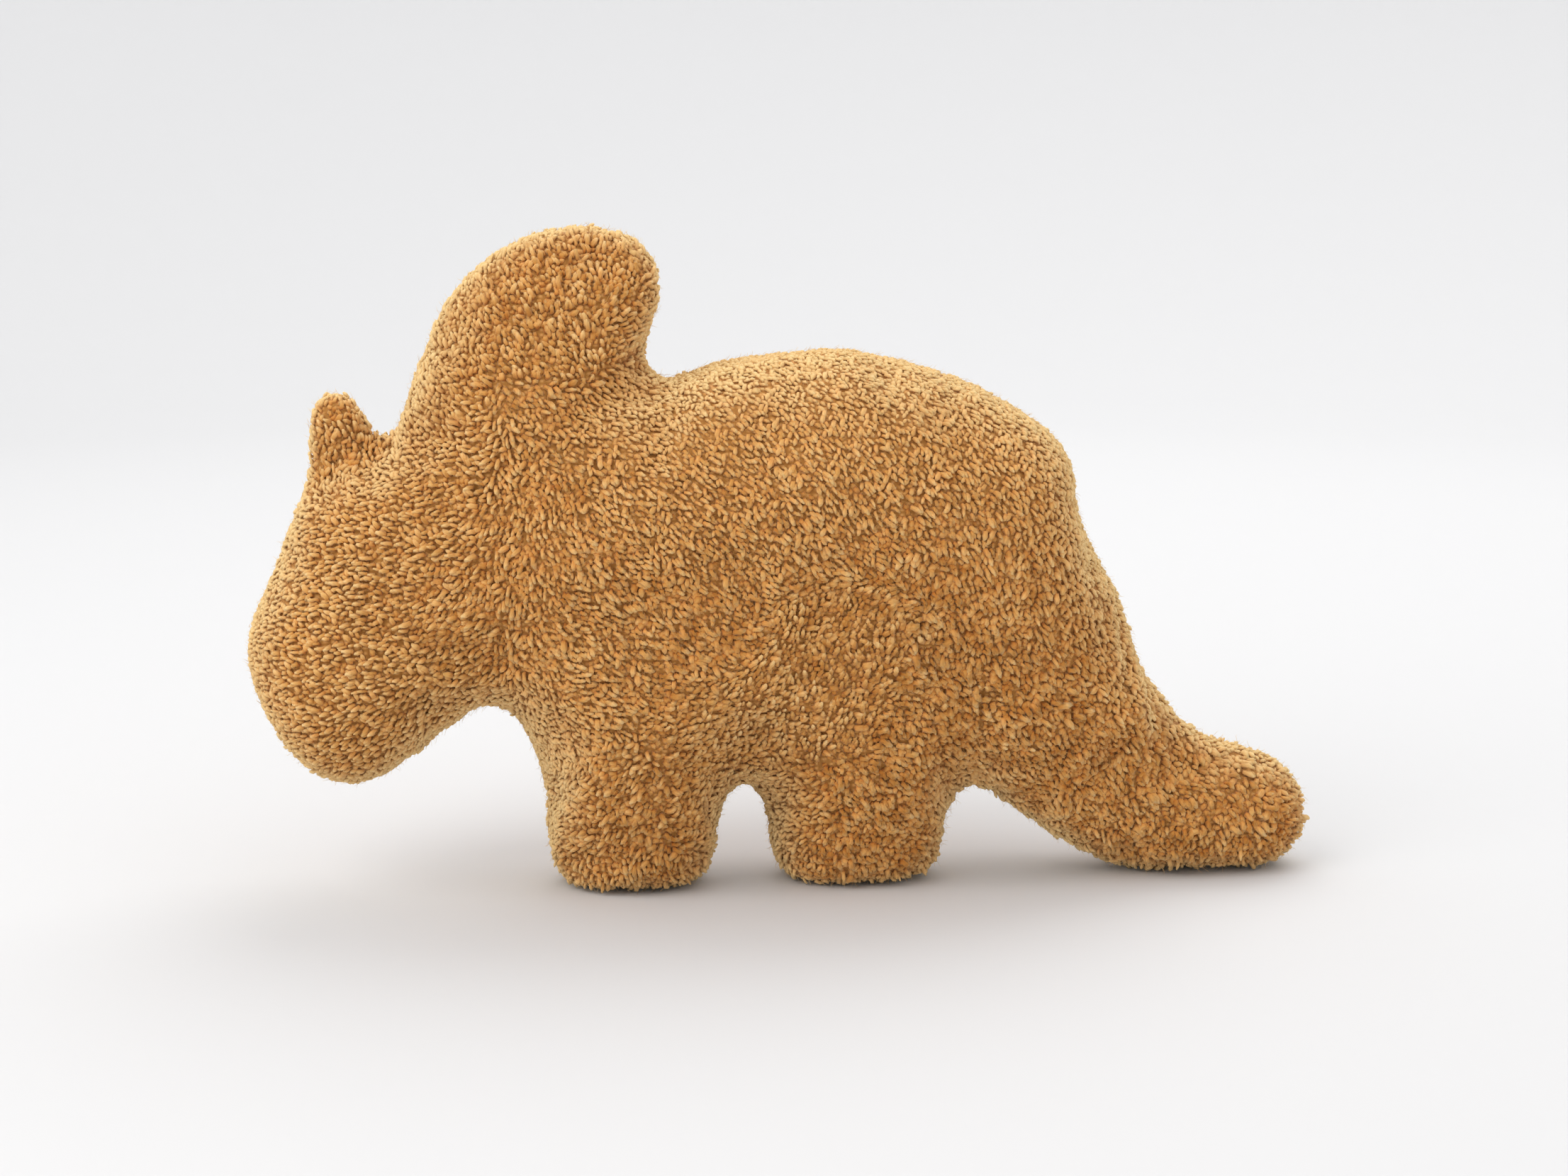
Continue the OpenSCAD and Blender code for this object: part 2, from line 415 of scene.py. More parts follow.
def surfaceShift(points, normals):
    plan = cushionPlan
    lump = np.array([noise.noise(Vector(p) / plan["lumpSize"]) for p in points])
    ripple = np.array([noise.noise(Vector(p / plan["ripple"])) for p in points])
    ripple *= np.clip((points[:, 0] - plan["rippleFrom"]) / plan["rippleFade"], 0, 1)
    ripple *= np.abs(normals[:, 1])
    return (lump * plan["lumpHeight"] + ripple * plan["rippleHeight"]
            - foldDepth(points) * np.abs(normals[:, 1]))


def sculpted(mesh):
    plan = cushionPlan
    points, normals = pointsOf(mesh), normalsOf(mesh)
    points += normals * surfaceShift(points, normals)[:, None]
    near = np.clip(1 - np.abs(points[:, 1]) / plan["pinchReach"], 0, 1) ** 2
    points -= normals * [1, 0, 1] * (near * plan["seamPinch"])[:, None]
    points[:, 2] = np.maximum(points[:, 2], plan["soleHeight"])
    putPoints(mesh, points)
    return mesh


def makeCushion():
    plan = cushionPlan
    mesh = remade(mergedCopy(panelNodes + wadNodes),
                  ("REMESH", {"mode": "VOXEL", "voxel_size": plan["voxel"]}),
                  ("SMOOTH", plan["smoothing"]))
    outerShell(mesh)
    points = pointsOf(mesh)
    depth = np.full(len(points), plan["pileDepth"])
    for x, z, reach, further in fullPlan:
        away = np.linalg.norm(points[:, [0, 2]] / mm - [x, z], axis=1)
        depth -= further * mm * np.exp(-(away / reach) ** 2)
    points -= normalsOf(mesh) * depth[:, None]
    points[:, 2] = np.maximum(points[:, 2], plan["soleHeight"])
    putPoints(mesh, points)
    print("cushion remeshed:", len(mesh.vertices), "points")
    blownUp(mesh)
    print("cushion blown up")
    sculpted(mesh)
    return remade(addLink(bpy.data.objects.new("cushion", mesh)), ("SMOOTH", plan["evening"]))


onceFiner = ("SUBSURF", {"levels": 1, "render_levels": 1})
cushion = makeCushion()
pileGround = remade(addLink(bpy.data.objects.new("ground", cushion)), onceFiner)
print("pile ground:", len(pileGround.vertices), "points")


# place over the side view, direction of the tips (degrees, 0 towards the tail, 90 up) and
# how far they stand up from the backing (degrees)
napPlan = [
    (-178, 110, 164, 24), (-186, 80, 170, 24), (-166, 56, 188, 26), (-150, 122, 154, 28),
    (-148, 92, 162, 28), (-128, 80, 172, 32), (-136, 62, 192, 28), (-168, 132, 164, 26),
    (-167, 180, 100, 34), (-162, 164, 76, 40), (-150, 146, 156, 28), (-128, 140, 176, 30),
    (-116, 164, 150, 34), (-128, 184, 118, 34), (-116, 216, 108, 40), (-96, 232, 96, 42),
    (-66, 234, 78, 42), (-54, 214, -8, 34), (-84, 204, 101, 44), (-92, 180, -70, 34),
    (-64, 178, -68, 24), (-100, 160, -76, 34), (-122, 128, 184, 36), (-120, 104, 190, 38),
    (-104, 142, 230, 36), (-104, 122, 242, 38), (-102, 102, 250, 38), (-86, 130, -62, 34),
    (-85, 106, -50, 36), (-96, 84, -60, 28), (-82, 90, -30, 28), (-108, 78, 172, 24),
    (-84, 74, -26, 24), (-66, 120, -58, 38), (-62, 92, -50, 38), (-36, 176, -70, 18),
    (-44, 150, -70, 28), (8, 184, -78, 18), (44, 180, -82, 20), (76, 164, -88, 24),
    (-16, 140, -72, 32), (24, 146, -76, 30), (54, 138, -88, 40), (-30, 110, -66, 42),
    (0, 104, 58, 42), (26, 100, 66, 54), (50, 98, -84, 56), (-4, 78, 56, 28),
    (18, 70, 46, 40), (-24, 66, 50, 26), (-44, 62, 20, 34), (40, 64, -66, 58),
    (96, 148, -92, 26), (106, 120, -90, 28), (86, 118, -98, 40), (124, 84, -78, 28),
    (72, 84, -80, 54), (98, 70, -76, 52), (76, 46, -60, 42), (112, 44, -80, 50),
    (140, 44, -78, 50), (150, 18, -92, 54), (176, 30, -76, 52), (192, 28, -30, 44),
    (164, 8, -92, 40), (4, 34, 186, 34), (26, 40, -76, 58), (30, 20, -82, 58),
    (48, 26, -50, 50), (28, 8, -92, 40), (-80, 34, 192, 32), (-60, 50, 208, 44),
    (-60, 28, 222, 44), (-38, 34, 30, 40), (-56, 8, -100, 38),
]

labelSpot = {"x": 128 * mm, "z": 92 * mm, "reach": 24 * mm}

combPlan = {
    "reach": 14 * mm,  # of each place in the plan above
    "blur": 0.25,
    # size and offset of four noises: small and broad turns of the nap, lean, height
    "noises": ((9 * mm, 0), (24 * mm, 7), (8 * mm, 13), (5.5 * mm, 19)),
    "turns": (0.6, 0.4),
    "leanSpread": 0.55,
    "heightSpread": 0.55,
    "standMore": 8,  # degrees, everywhere
    "rowsBelow": 28,  # pile that lies flatter than this keeps straighter rows
    "looseOver": 28,
    "looseness": (0.22, 1.1),
    "height": 0.86,
    "standingHeight": 0.22,  # what standing up adds, from and over these degrees
    "standingFrom": 20,
    "standingOver": 35,
    "rimLean": 0.35,  # along the seam the pile lies flatter and is shorter
    "rimHeight": 0.38,
    "pressed": 0.8,  # underfoot and under the label it is pressed flat
    "labelFade": 1.6,
    "soleFade": 3 * mm,
}


def combed(mesh):
    plan = combPlan
    points, normals = pointsOf(mesh), normalsOf(mesh)
    places = np.array(napPlan, dtype=float)
    away = np.linalg.norm(points[:, None, [0, 2]] - places[None, :, :2] * mm, axis=2) / plan["reach"]
    weight = 1 / (plan["blur"] + away ** 2) ** 2
    weight /= weight.sum(axis=1, keepdims=True)
    angle = np.radians(places[:, 2])
    angle = np.arctan2(weight @ np.sin(angle), weight @ np.cos(angle))
    clump = np.array([[noise.noise(Vector(p) / size + Vector((shift, 0, 0)))
                       for size, shift in plan["noises"]] for p in points])
    upright = weight @ places[:, 3] + plan["standMore"]
    loose = np.clip((upright - plan["rowsBelow"]) / plan["looseOver"], *plan["looseness"])
    angle += (clump[:, 0] * plan["turns"][0] + clump[:, 1] * plan["turns"][1]) * loose
    nap = np.stack([np.cos(angle), np.zeros(len(points)), np.sin(angle)], axis=1)
    nap -= normals * np.sum(nap * normals, axis=1, keepdims=True)
    nap /= np.maximum(np.linalg.norm(nap, axis=1, keepdims=True), 1e-6)
    rim = 1 - np.abs(normals[:, 1])
    lean = np.radians(upright) * (1 + clump[:, 2] * plan["leanSpread"]) * (1 - plan["rimLean"] * rim)
    standing = np.clip((upright - plan["standingFrom"]) / plan["standingOver"], 0, 1)
    tall = (plan["height"] + plan["standingHeight"] * standing) * (1 - plan["rimHeight"] * rim)
    tall *= 1 + plan["heightSpread"] * clump[:, 3] * loose
    flat = points[:, [0, 2]] - [labelSpot["x"], labelSpot["z"]]
    label = np.clip(plan["labelFade"] - np.linalg.norm(flat, axis=1) / labelSpot["reach"], 0, 1)
    label *= points[:, 1] > 0
    sole = np.clip(1 - (points[:, 2] - cushionPlan["soleHeight"]) / plan["soleFade"], 0, 1)
    lean *= 1 - plan["pressed"] * np.maximum(label, sole)
    for name, values in (("nap", nap), ("lean", lean), ("rim", rim), ("tall", tall)):
        kind, field = ("FLOAT_VECTOR", "vector") if values.ndim == 2 else ("FLOAT", "value")
        layer = mesh.attributes.new(name, kind, "POINT")
        layer.data.foreach_set(field, values.astype(np.float32).ravel())
    print("nap combed from", len(places), "places")
    return mesh


combed(pileGround)

tuftPlan = {
    "name": "tuft",
    "spacing": 1.55 * mm,
    "sides": 5,
    "rings": [(0.0, 0.55), (0.3, 0.95), (0.65, 1.0), (0.92, 0.72)],  # share of length, share of width
    # length, width, start and end angle of the bend in degrees, sideways wave in mm
    "locks": [(3.8, 1.8, 30, -50, 0.4), (3.5, 2.0, 36, -70, -0.5),
              (4.2, 1.7, 26, -40, 0.55), (3.3, 2.0, 32, -90, 0.6)],
    "curls": [(3.3, 2.2, 8, -110, 0.5), (3.0, 2.4, -4, -140, -0.6),
              (3.6, 2.1, 12, -95, 0.65), (2.8, 2.3, -10, -125, 0.45)],
    "curlAbove": 0.74,  # radians of lean past which tufts curl over
    "yaw": 0.26,  # radians a tuft may turn from the nap
    "leanSpread": 0.2,
    "smallest": 0.68,
    "largest": 1.34,
    "seed": 11,
}

# single fibres that have worked loose and stand past the tufts
fuzzPlan = {
    "name": "fibre",
    "spacing": 2.15 * mm,
    "sides": 3,
    "rings": [(0.0, 1.0), (0.4, 0.9), (0.75, 0.7)],
    "locks": [(6.0, 0.16, 40, -40, 0.8), (5.4, 0.14, 30, 20, -0.7),
              (6.6, 0.15, 24, -70, 1.0), (5.0, 0.14, 50, -20, -1.0)],
    "curls": [(5.4, 0.16, 20, -80, 0.9), (4.8, 0.14, 0, -40, -0.9),
              (5.8, 0.15, 10, 40, 0.8), (5.0, 0.14, -10, -90, 0.7)],
    "curlAbove": 0.8,
    "yaw": 0.9,
    "leanSpread": 0.5,
    "smallest": 0.7,
    "largest": 1.2,
    "seed": 47,
}
bandNames = ["Head", "Chest", "Rump", "Tail"]  # the pile is split along the toy into these

# what every tuft and fibre has in common
strandPlan = {
    "steps": 24,
    "halfWaves": 1.7,
    "ahead": 0.05,  # share of the length over which its direction is taken
    "flatness": 0.9,
    "twist": 1.2,  # radians from root to tip
    "densest": 900000.0,  # to a square metre, before the spacing thins them
    "curlBlur": 0.16,  # radians of lean either side of where tufts curl over
    "yawByLean": 1.5,  # tufts that stand up turn further
    "widthByHeight": 0.4,
    "leastWidth": 0.62,
    "floor": 0.4 * mm,  # nothing underfoot goes below this height
}


def tuftMesh(plan, name, length, width, firstAngle, lastAngle, wave):
    rings, steps = plan["rings"], strandPlan["steps"]
    angles = np.radians(np.linspace(firstAngle, lastAngle, steps))
    line = np.zeros((steps + 1, 3))
    line[1:, 2] = np.cumsum(np.cos(angles)) * length * mm / steps
    line[1:, 0] = np.cumsum(np.sin(angles)) * length * mm / steps
    share = np.linspace(0, 1, steps + 1)
    line[:, 1] = wave * mm * np.sin(share * math.pi * strandPlan["halfWaves"])
    bm = bmesh.new()
    uvLayer = bm.loops.layers.uv.new("strand")
    loops = []
    for place, size in rings:
        beyond = min(place + strandPlan["ahead"], 1)
        centre = np.array([np.interp(place, share, line[:, k]) for k in range(3)])
        ahead = np.array([np.interp(beyond, share, line[:, k]) for k in range(3)])
        tangent = Vector(ahead - centre).normalized()
        across = Vector((0, 1, 0)).cross(tangent).normalized()
        upright = tangent.cross(across)
        corners = []
        for k in range(plan["sides"]):
            t = 2 * math.pi * k / plan["sides"] + place * strandPlan["twist"]
            reach = across * math.cos(t) * strandPlan["flatness"] + upright * math.sin(t)
            corners.append(bm.verts.new(Vector(centre) + reach * size * width * mm / 2))
        loops.append(corners)
    tip = bm.verts.new(Vector(line[-1]))

    def addFace(corners, uvs):
        face = bm.faces.new(corners)
        face.smooth = True
        for loop, uv in zip(face.loops, uvs):
            loop[uvLayer].uv = uv

    n = plan["sides"]
    for i in range(len(loops) - 1):
        low, high = rings[i][0], rings[i + 1][0]
        for k in range(n):
            j = (k + 1) % n
            addFace([loops[i][k], loops[i][j], loops[i + 1][j], loops[i + 1][k]],
                    [(k / n, low), ((k + 1) / n, low), ((k + 1) / n, high), (k / n, high)])
    high = rings[-1][0]
    for k in range(n):
        addFace([loops[-1][k], loops[-1][(k + 1) % n], tip],
                [(k / n, high), ((k + 1) / n, high), (k / n, 1)])
    addFace(loops[0][::-1], [(0, 0)] * n)
    bmesh.ops.recalc_face_normals(bm, faces=bm.faces)
    mesh = bpy.data.meshes.new(name)
    bm.to_mesh(mesh)
    bm.free()
    return bpy.data.objects.new(name, mesh)


def addInput(tree, name, kind, value=None):
    socket = tree.interface.new_socket(name, in_out="INPUT", socket_type=kind)
    if value is not None:
        socket.default_value = value
    return socket


def pileTree():
    tree = bpy.data.node_groups.new("fleecePile", "GeometryNodeTree")
    tree.is_modifier = True
    addInput(tree, "Ground", "NodeSocketGeometry")
    addInput(tree, "Tufts", "NodeSocketCollection")
    addInput(tree, "Material", "NodeSocketMaterial")
    addInput(tree, "Band", "NodeSocketInt", 0)
    for name in ("Spacing", "Curl above", "Yaw", "Lean spread", "Smallest", "Largest"):
        addInput(tree, name, "NodeSocketFloat")
    addInput(tree, "Seed", "NodeSocketInt", 0)
    tree.interface.new_socket("Pile", in_out="OUTPUT", socket_type="NodeSocketGeometry")
    given = addNode(tree, "NodeGroupInput").outputs

    # what is drawn for each tuft: lean, two for its turn, curl, kind, width, height and tone
    kinds, blur = len(tuftPlan["locks"]), strandPlan["curlBlur"]
    sizes = (given["Smallest"], given["Largest"])
    draws = []
    for low, high in ((-1.0, 1.0), (-1.0, 1.0), (-1.0, 1.0), (-blur, blur), (0.0, kinds - 0.001),
                      sizes, sizes, (0.0, 1.0)):
        draws.append(addNode(tree, "FunctionNodeRandomValue", {"data_type": "FLOAT"},
                             {"Min": low, "Max": high, "Seed": len(draws) + 1}, "Value"))
    nap, band, groundLean, tall = [
        addNode(tree, "GeometryNodeInputNamedAttribute", {"data_type": kind}, {"Name": name}, "Attribute")
        for name, kind in (("nap", "FLOAT_VECTOR"), ("band", "INT"), ("lean", "FLOAT"), ("tall", "FLOAT"))]
    plus, times = {"operation": "ADD"}, {"operation": "MULTIPLY"}

    def swung(first, second, angle):
        # the first direction, turned towards the second
        parts = []
        for way, operation in ((first, "COSINE"), (second, "SINE")):
            share = addNode(tree, "ShaderNodeMath", {"operation": operation}, {0: angle}, "Value")
            parts.append(addNode(tree, "ShaderNodeVectorMath", {"operation": "SCALE"},
                                 {0: way, "Scale": share}, "Vector"))
        return addNode(tree, "ShaderNodeVectorMath", plus, {0: parts[0], 1: parts[1]}, "Vector")

    spread = addNode(tree, "GeometryNodeDistributePointsOnFaces", {"distribute_method": "POISSON"},
                     {"Mesh": given["Ground"], "Distance Min": given["Spacing"],
                      "Density Max": strandPlan["densest"], "Density Factor": 1.0, "Seed": given["Seed"]})
    normal = socketOf(spread.outputs, "Normal")
    elsewhere = addNode(tree, "FunctionNodeCompare", {"data_type": "INT", "operation": "NOT_EQUAL"},
                        {"A": band, "B": given["Band"]}, "Result")
    points = addNode(tree, "GeometryNodeDeleteGeometry", {"domain": "POINT"},
                     {"Geometry": spread.outputs["Points"], "Selection": elsewhere}, "Geometry")

    leanShift = addNode(tree, "ShaderNodeMath", times, {0: given["Lean spread"], 1: draws[0]}, "Value")
    lean = addNode(tree, "ShaderNodeMath", plus, {0: groundLean, 1: leanShift}, "Value")
    yaw = addNode(tree, "ShaderNodeMath", plus, {0: draws[1], 1: draws[2]}, "Value")
    yaw = addNode(tree, "ShaderNodeMath", times, {0: given["Yaw"], 1: yaw}, "Value")
    further = addNode(tree, "ShaderNodeMath", times, {0: groundLean, 1: strandPlan["yawByLean"]}, "Value")
    yaw = addNode(tree, "ShaderNodeMath", times, {0: yaw, 1: further}, "Value")
    across = addNode(tree, "ShaderNodeVectorMath", {"operation": "CROSS_PRODUCT"},
                     {0: normal, 1: nap}, "Vector")
    upward = swung(swung(nap, across, yaw), normal, lean)
    turn = addNode(tree, "FunctionNodeAxesToRotation", {"primary_axis": "Z", "secondary_axis": "X"},
                   {"Primary Axis": upward, "Secondary Axis": normal}, "Rotation")

    limit = addNode(tree, "ShaderNodeMath", plus, {0: given["Curl above"], 1: draws[3]}, "Value")
    curled = addNode(tree, "ShaderNodeMath", {"operation": "GREATER_THAN"},
                     {0: groundLean, 1: limit}, "Value")
    past = addNode(tree, "ShaderNodeMath", times, {0: curled, 1: float(kinds)}, "Value")
    pick = addNode(tree, "ShaderNodeMath", {"operation": "FLOOR"}, {0: draws[4]}, "Value")
    pick = addNode(tree, "ShaderNodeMath", plus, {0: pick, 1: past}, "Value")
    width = addNode(tree, "ShaderNodeMath", times, {0: tall, 1: strandPlan["widthByHeight"]}, "Value")
    width = addNode(tree, "ShaderNodeMath", plus, {0: width, 1: strandPlan["leastWidth"]}, "Value")
    width = addNode(tree, "ShaderNodeMath", times, {0: draws[5], 1: width}, "Value")
    height = addNode(tree, "ShaderNodeMath", times, {0: draws[6], 1: tall}, "Value")
    size = addNode(tree, "ShaderNodeCombineXYZ", None, {"X": width, "Y": width, "Z": height}, "Vector")

    tufts = addNode(tree, "GeometryNodeCollectionInfo", {"transform_space": "ORIGINAL"},
                    {"Collection": given["Tufts"], "Separate Children": True, "Reset Children": True},
                    "Instances")
    placed = addNode(tree, "GeometryNodeInstanceOnPoints", None,
                     {"Points": points, "Instance": tufts, "Pick Instance": True, "Instance Index": pick,
                      "Rotation": turn, "Scale": size}, "Instances")
    toned = addNode(tree, "GeometryNodeStoreNamedAttribute", {"data_type": "FLOAT", "domain": "INSTANCE"},
                    {"Geometry": placed, "Name": "tuftTone", "Value": draws[7]}, "Geometry")
    solid = addNode(tree, "GeometryNodeRealizeInstances", None, {"Geometry": toned}, "Geometry")
    spot = addNode(tree, "ShaderNodeSeparateXYZ", None,
                   {"Vector": addNode(tree, "GeometryNodeInputPosition", out="Position")})
    above = addNode(tree, "ShaderNodeMath", {"operation": "MAXIMUM"},
                    {0: spot.outputs["Z"], 1: strandPlan["floor"]}, "Value")
    pressed = addNode(tree, "ShaderNodeCombineXYZ", None,
                      {"X": spot.outputs["X"], "Y": spot.outputs["Y"], "Z": above}, "Vector")
    pressed = addNode(tree, "GeometryNodeSetPosition", None,
                      {"Geometry": solid, "Position": pressed}, "Geometry")
    painted = addNode(tree, "GeometryNodeSetMaterial", None,
                      {"Geometry": pressed, "Material": given["Material"]}, "Geometry")
    addNode(tree, "NodeGroupOutput", None, {"Pile": painted})
    return tree


def addTree(obj, tree, values):
    modifier = obj.modifiers.new(tree.name, "NODES")
    modifier.node_group = tree
    for item in tree.interface.items_tree:
        if item.item_type == "SOCKET" and item.in_out == "INPUT" and item.name in values:
            modifier[item.identifier] = values[item.name]
    return modifier


def dressed(material, tree, shader, colour, height, plan):
    # links the colour and the bump, and sets what is the same all over
    strength, deep = plan["bump"]
    bump = addNode(tree, "ShaderNodeBump", None,
                   {"Strength": strength, "Distance": deep, "Height": height}, "Normal")
    tree.links.new(colour, shader.inputs["Base Color"])
    tree.links.new(bump, shader.inputs["Normal"])
    for name, value in plan["surface"].items():
        shader.inputs[name].default_value = value
    return material


# curled polyester pile: matt yarn ends, painted lighter at the tips for the light that shines through them,
# and painted deep brown at the roots for the shade between them
pileLook = {
    "along": [(0.0, "#D7924A"), (0.35, "#E9AF64"), (0.7, "#F4C684"), (1.0, "#FBDEA6")],  # root to tip
    # each tuft takes the dye a little differently, and so do patches a few centimetres wide
    "tufts": [(0.0, "#EEE1C6"), (0.3, "#FAF5EA"), (0.7, "#FFFFFF"), (1.0, "#FFF3E4")],
    "patches": [(0.3, "#F2EADC"), (0.7, "#FFFFFF")],
    "patchScale": 26.0,
    # painted shade: noise patches about 6 mm wide are painted darker where clumps of tufts part, most where
    # the pile stands up
    "clumps": [(0.36, "#E0CBA4"), (0.56, "#FFFFFF")],
    "clumpScale": 170.0,
    "standing": [(0.5, "#505050"), (0.95, "#FFFFFF")],
    # single fibres run up each tuft, about 0.25 mm apart and slightly twisted
    "fibres": [(0.3, "#E4D9C8"), (0.62, "#FFFFFF")],
    "fibreShare": 0.8,
    "fibreScale": (18.0, 3.0, 1.0),
    "fibreTwist": (0, 0, 0.06),
    # painted highlight: the pile is painted paler where its surface turns edge-on along the seam, for the
    # bright rim of light seen there
    "worn": [(0.2, "#000000"), (0.75, "#CCCCCC")],
    "wornColour": "#FFE6AA",
    "bump": (0.5, 0.15 * mm),
    "surface": {"Roughness": 0.86, "IOR": 1.5, "Specular IOR Level": 0.3, "Sheen Weight": 0.35,
                "Sheen Roughness": 0.5, "Sheen Tint": linearColour("#FFE0B0")},
}


def teddyPile():
    plan = pileLook
    material, tree, shader = newMaterial("teddyPile")
    strand = addNode(tree, "ShaderNodeUVMap", {"uv_map": "strand"}, None, "UV")
    along = addNode(tree, "ShaderNodeSeparateXYZ", None, {"Vector": strand}, "Y")
    tone, rim, lean = [addNode(tree, "ShaderNodeAttribute", {"attribute_name": name}, None, "Fac")
                       for name in ("tuftTone", "rim", "lean")]
    spot = addNode(tree, "ShaderNodeTexCoord", None, None, "Object")
    stretched = addNode(tree, "ShaderNodeMapping", None,
                        {"Vector": strand, "Rotation": plan["fibreTwist"], "Scale": plan["fibreScale"]},
                        "Vector")
    patch, clump, fibre = [
        addNode(tree, "ShaderNodeTexNoise", None, {"Vector": place, "Scale": scale, "Detail": detail}, "Fac")
        for place, scale, detail in ((spot, plan["patchScale"], 3.0), (spot, plan["clumpScale"], 1.0),
                                     (stretched, 1.0, 2.0))]
    shade = {name: addNode(tree, "ShaderNodeValToRGB", {"stops": plan[name]}, {"Fac": factor}, "Color")
             for name, factor in (("along", along), ("tufts", tone), ("patches", patch), ("clumps", clump),
                                  ("standing", lean), ("fibres", fibre), ("worn", rim))}
    # the mixes below multiply in random dyes, the painted parting shade and the fibre streaks, then lay the
    # painted rim highlight over all
    dyed = shade["along"]
    for blend, factor, dye in (("MULTIPLY", 1.0, shade["tufts"]), ("MULTIPLY", 1.0, shade["patches"]),
                               ("MULTIPLY", shade["standing"], shade["clumps"]),
                               ("MULTIPLY", plan["fibreShare"], shade["fibres"]),
                               ("MIX", shade["worn"], linearColour(plan["wornColour"]))):
        dyed = addNode(tree, "ShaderNodeMix", {"data_type": "RGBA", "blend_type": blend},
                       {"Factor": factor, "A": dyed, "B": dye}, "Result")
    return dressed(material, tree, shader, dyed, fibre, plan)


# knitted polyester ground of the fleece: rows of loops 1.4 mm apart, dyed a darker brown than the pile as
# painted shade for the shade that falls on it under the tufts
backingLook = {
    "rows": ("X", {"Scale": 112.0, "Distortion": 1.5, "Detail": 1.0, "Detail Scale": 3.0}),
    "courses": ("Z", {"Scale": 160.0, "Distortion": 1.0}),
    "dye": [(0.0, "#A8722F"), (0.5, "#C68D46"), (1.0, "#D9A461")],
    "bump": (0.5, 0.3 * mm),
    "surface": {"Roughness": 0.9, "Sheen Weight": 0.2},
}


def knitBacking():
    plan = backingLook
    material, tree, shader = newMaterial("knitBacking")
    spot = addNode(tree, "ShaderNodeTexCoord", None, None, "Object")
    rows, courses = [
        addNode(tree, "ShaderNodeTexWave", {"wave_type": "BANDS", "bands_direction": way},
                {"Vector": spot, **wave}, "Fac") for way, wave in (plan["rows"], plan["courses"])]
    loops = addNode(tree, "ShaderNodeMath", {"operation": "MULTIPLY"}, {0: rows, 1: courses}, "Value")
    dye = addNode(tree, "ShaderNodeValToRGB", {"stops": plan["dye"]}, {"Fac": loops}, "Color")
    return dressed(material, tree, shader, dye, loops, plan)


# spun polyester thread: two plies twisted together, with a faint gloss
threadLook = {
    "way": "DIAGONAL",
    "wave": {"Scale": 520.0, "Distortion": 0.6},
    "dye": [(0.0, "#8F6024"), (1.0, "#C99349")],
    "bump": (0.6, 0.1 * mm),
    "surface": {"Roughness": 0.5},
}

# woven satin: fine floats along the ribbon, so a silky gloss across it
ribbonLook = {
    "way": "X",
    "wave": {"Scale": 640.0, "Distortion": 0.5},
    "dye": [(0.0, "#C9C3B5"), (1.0, "#DFDACD")],
    "bump": (0.3, 0.05 * mm),
    "surface": {"Roughness": 0.34, "Sheen Weight": 0.2},
}


def banded(name, plan, uvMap=None):
    material, tree, shader = newMaterial(name)
    if uvMap:
        place = addNode(tree, "ShaderNodeUVMap", {"uv_map": uvMap}, None, "UV")
    else:
        place = addNode(tree, "ShaderNodeTexCoord", None, None, "Object")
    lines = addNode(tree, "ShaderNodeTexWave", {"wave_type": "BANDS", "bands_direction": plan["way"]},
                    {"Vector": place, **plan["wave"]}, "Fac")
    dye = addNode(tree, "ShaderNodeValToRGB", {"stops": plan["dye"]}, {"Fac": lines}, "Color")
    return dressed(material, tree, shader, dye, lines, plan)


# carded polyester filling: a white cloud of crimped fibres
fillingLook = {
    "crimp": {"Scale": 420.0, "Detail": 4.0, "Distortion": 1.5},
    "dye": [(0.3, "#D9D8D2"), (0.7, "#F7F6F2")],
    "bump": (0.8, 0.6 * mm),
    "surface": {"Roughness": 0.95, "Sheen Weight": 0.3},
}


def hollowFibre():
    plan = fillingLook
    material, tree, shader = newMaterial("hollowFibre")
    spot = addNode(tree, "ShaderNodeTexCoord", None, None, "Object")
    crimp = addNode(tree, "ShaderNodeTexNoise", None, {"Vector": spot, **plan["crimp"]}, "Fac")
    dye = addNode(tree, "ShaderNodeValToRGB", {"stops": plan["dye"]}, {"Fac": crimp}, "Color")
    return dressed(material, tree, shader, dye, crimp, plan)


pileMaterial = teddyPile()
backingMaterial = knitBacking()
threadMaterial = banded("sewingThread", threadLook)
ribbonMaterial = banded("satinRibbon", ribbonLook, "weave")
fillingMaterial = hollowFibre()
print("materials made")


panelPlan = {
    "seamGap": 0.3 * mm,  # each panel stays this far off the seam plane
    "allowance": 5 * mm,
    "backing": 1.2 * mm,
    "edgeReach": 5,  # points each way over which the direction of the edge is taken
    "firmness": 0.8,
}


def halfOf(mesh, side):
    bm = bmesh.new()
    bm.from_mesh(mesh)
    bmesh.ops.bisect_plane(bm, geom=bm.verts[:] + bm.edges[:] + bm.faces[:], dist=1e-5,
                           plane_co=(0, side * panelPlan["seamGap"], 0), plane_no=(0, side, 0),
                           clear_inner=True)
    half = bpy.data.meshes.new("half")
    bm.to_mesh(half)
    bm.free()
    return half


def bandLimits(mesh):
    # where to part the pile along the toy, so that each band covers the same area
    faces = sorted((polygon.center.x, polygon.area) for polygon in mesh.polygons)
    total = sum(area for x, area in faces)
    limits, run = [], 0
    for x, area in faces:
        run += area
        if run > total * (len(limits) + 1) / len(bandNames) and len(limits) < len(bandNames) - 1:
            limits.append(x)
    return limits


